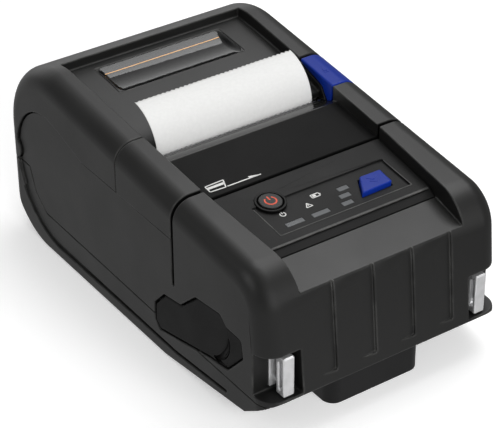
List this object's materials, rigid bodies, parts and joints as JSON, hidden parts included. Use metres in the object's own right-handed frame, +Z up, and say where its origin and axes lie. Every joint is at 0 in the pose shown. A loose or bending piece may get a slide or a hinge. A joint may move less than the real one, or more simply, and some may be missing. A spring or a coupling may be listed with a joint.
{
  "type": "receipt printer",
  "caption": "Portable receipt printer with a hinged roll lid, card swipe slot, control panel, side connector cover and strap loops, in black plastic with blue keys.",
  "frame": {"origin": "under the middle of the casing, on the table", "axes": "+X to the right seen from the front, +Y to the rear, +Z up"},
  "size_m": [0.086, 0.148, 0.0669],
  "materials": {
    "case_black": "satin",
    "panel_black": "fine satin",
    "bin_black": "matte",
    "battery_black": "satin",
    "button_black": "gloss",
    "switch_black": "matte",
    "key_blue": "satin",
    "light_window": "translucent",
    "gear_white": "satin",
    "clear_window": "clear",
    "rubber_black": "matte",
    "steel": "satin",
    "aluminium": "satin",
    "chrome": "polished",
    "contact_brass": "satin",
    "board_green": "satin",
    "head_ceramic": "glazed",
    "paper": "matte",
    "core_grey": "matte"
  },
  "bodies": {
    "case": {"upper_case": "case_black", "bottom_case": "case_black", "middle_cover": "panel_black", "tear_bar": "panel_black", "control_panel": "case_black", "status_lights": "light_window", "power_ring": "button_black", "panel_board": "board_green", "key_switches": "switch_black", "case_screws": "steel", "board_screws": "steel", "frame_screws": "steel", "feet": "rubber_black", "battery_contacts": "contact_brass", "main_board": "board_green", "usb_socket": "steel", "serial_socket": "steel", "strap_loop_right": "chrome", "strap_loop_left": "chrome", "mechanism_frame": "steel", "gear_post": "steel", "stepper_motor": "steel", "head_pin": "steel", "head_springs": "steel", "paper_bin": "bin_black", "paper_web": "paper", "card_guide": "bin_black", "card_head_spring": "steel", "hinge_pin": "steel"},
    "lid": {"lid": "case_black", "lid_window": "clear_window", "platen_bushes": "gear_white", "lever_pin": "steel", "lever_spring": "steel", "paper_strip": "paper"},
    "lever": {"open_lever": "key_blue"},
    "platen": {"platen_roller": "rubber_black", "platen_shaft": "steel", "platen_gear": "gear_white"},
    "idler": {"idler_gear": "gear_white"},
    "pinion": {"motor_pinion": "contact_brass", "motor_shaft": "steel"},
    "roll": {"paper_roll": "paper", "roll_core": "core_grey"},
    "head": {"thermal_head": "head_ceramic", "heat_sink": "aluminium"},
    "power_key": {"power_button": "button_black"},
    "feed_key": {"feed_button": "key_blue"},
    "cover": {"connector_cover": "rubber_black"},
    "battery": {"battery_pack": "battery_black"},
    "reader": {"card_head": "steel"}
  },
  "joints": [
    {"name": "lid_hinge", "type": "hinge", "parent": "case", "child": "lid", "pos_m": [0, 0.07, 0.03], "axis": [-1, 0, 0], "range_deg": [0, 85]},
    {"name": "lever_lift", "type": "hinge", "parent": "lid", "child": "lever", "pos_m": [0.0362, 0.015, 0.059], "axis": [-1, 0, 0], "range_deg": [0, 10], "stiffness_Nm_per_rad": 0.03},
    {"name": "platen_spin", "type": "hinge", "parent": "lid", "child": "platen", "pos_m": [0, 0.0093, 0.047], "axis": [1, 0, 0], "continuous": true},
    {"name": "idler_spin", "type": "hinge", "parent": "case", "child": "idler", "pos_m": [-0.0343, 0.00507, 0.03188], "axis": [1, 0, 0], "continuous": true},
    {"name": "pinion_spin", "type": "hinge", "parent": "case", "child": "pinion", "pos_m": [-0.0343, -0.00856, 0.02692], "axis": [1, 0, 0], "continuous": true},
    {"name": "roll_spin", "type": "hinge", "parent": "case", "child": "roll", "pos_m": [0, 0.0415, 0.0288], "axis": [1, 0, 0], "continuous": true},
    {"name": "head_pivot", "type": "hinge", "parent": "case", "child": "head", "pos_m": [0, 0.0014, 0.032], "axis": [1, 0, 0], "range_deg": [0, 2], "stiffness_Nm_per_rad": 2, "deforming": ["head_springs"]},
    {"name": "power_press", "type": "slide", "parent": "case", "child": "power_key", "axis": [0, 0.1045, -0.9945], "range_m": [0, 0.0006], "stiffness_N_per_m": 400},
    {"name": "feed_press", "type": "slide", "parent": "case", "child": "feed_key", "axis": [0, 0.1045, -0.9945], "range_m": [0, 0.0006], "stiffness_N_per_m": 400},
    {"name": "cover_swing", "type": "hinge", "parent": "case", "child": "cover", "pos_m": [-0.0425, -0.0158, 0.014], "axis": [0, 0, -1], "range_deg": [0, 110]},
    {"name": "battery_slide", "type": "slide", "parent": "case", "child": "battery", "axis": [0, -1, 0], "range_m": [0, 0.062]},
    {"name": "reader_press", "type": "slide", "parent": "case", "child": "reader", "axis": [0, -1, 0], "range_m": [0, 0.0004], "stiffness_N_per_m": 500, "deforming": ["card_head_spring"]}
  ],
  "couplings": [
    {"joint": "idler_spin", "follows": "platen_spin", "ratio": -0.52941},
    {"joint": "pinion_spin", "follows": "platen_spin", "ratio": 1.2857},
    {"joint": "roll_spin", "follows": "platen_spin", "ratio": -0.23256}
  ]
}
